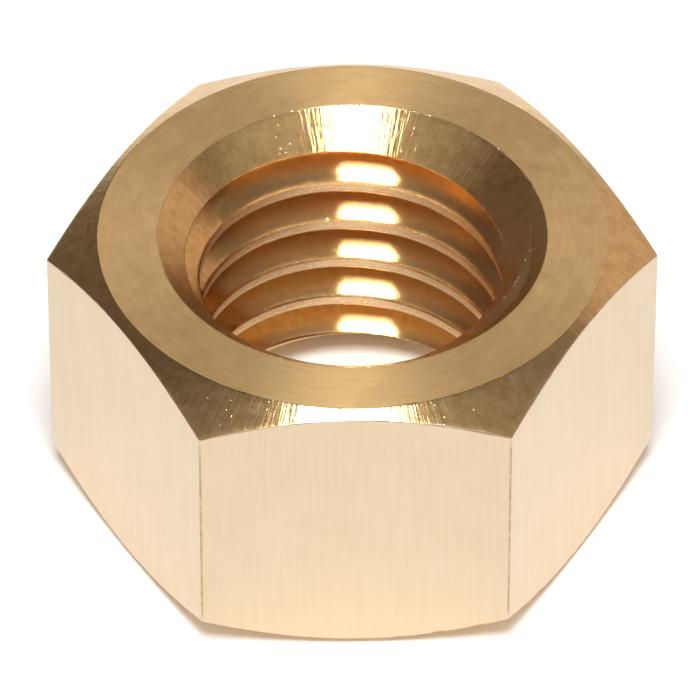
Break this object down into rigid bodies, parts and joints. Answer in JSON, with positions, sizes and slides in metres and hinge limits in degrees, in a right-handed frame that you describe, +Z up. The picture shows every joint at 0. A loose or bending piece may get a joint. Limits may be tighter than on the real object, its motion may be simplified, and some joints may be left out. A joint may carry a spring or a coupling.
{
  "type": "hex nut",
  "caption": "Plain machined brass hex nut with chamfered corners and countersunk threaded hole at both ends.",
  "frame": {"origin": "centre of the lower bearing face, on the thread axis", "axes": "+Z up the thread axis; one wrench flat faces -Y, and two corners lie on the X axis"},
  "size_m": [0.0206, 0.0178, 0.0105],
  "materials": {
    "brass": "bare machined brass: drawn flats, satin turned end rings, polished chamfers and thread"
  },
  "bodies": {
    "root": {"hex_nut": "brass"}
  },
  "joints": []
}
